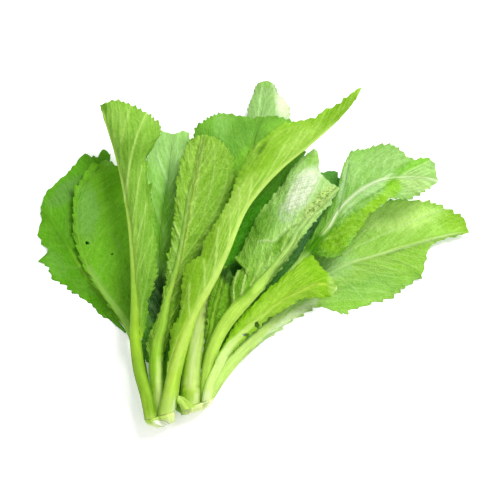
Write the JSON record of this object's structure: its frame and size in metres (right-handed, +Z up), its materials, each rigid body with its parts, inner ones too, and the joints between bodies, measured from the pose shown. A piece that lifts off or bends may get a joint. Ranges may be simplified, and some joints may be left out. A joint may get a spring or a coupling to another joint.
{
  "type": "bunch of mustard greens",
  "caption": "Bunch of fresh mustard greens lying on its side: frilled leaves with long ribbed stalks that meet in a cut base.",
  "frame": {"origin": "on the surface that the bunch lies on, at the middle of its footprint", "axes": "+Z up, +Y from the cut base towards the leaf tips, +X to the right as seen from the cut base"},
  "size_m": [0.3465, 0.2975, 0.0589],
  "materials": {
    "leaf_dark": "satin",
    "leaf_green": "satin",
    "leaf_pale": "satin",
    "leaf_bright": "satin",
    "cut_base": "satin"
  },
  "bodies": {
    "root": {"leaf_left_outer": "leaf_dark", "leaf_left_inner": "leaf_dark", "leaf_left_tall": "leaf_green", "leaf_left_back": "leaf_pale", "leaf_centre_left": "leaf_green", "leaf_front": "leaf_green", "leaf_centre_back": "leaf_dark", "leaf_back_tip": "leaf_pale", "leaf_centre_right": "leaf_pale", "leaf_right_back": "leaf_dark", "leaf_right_upper": "leaf_bright", "leaf_right_lower": "leaf_bright", "leaf_right_front": "leaf_bright", "leaf_young": "leaf_green", "crown": "cut_base", "cut_stub": "cut_base"}
  },
  "joints": []
}
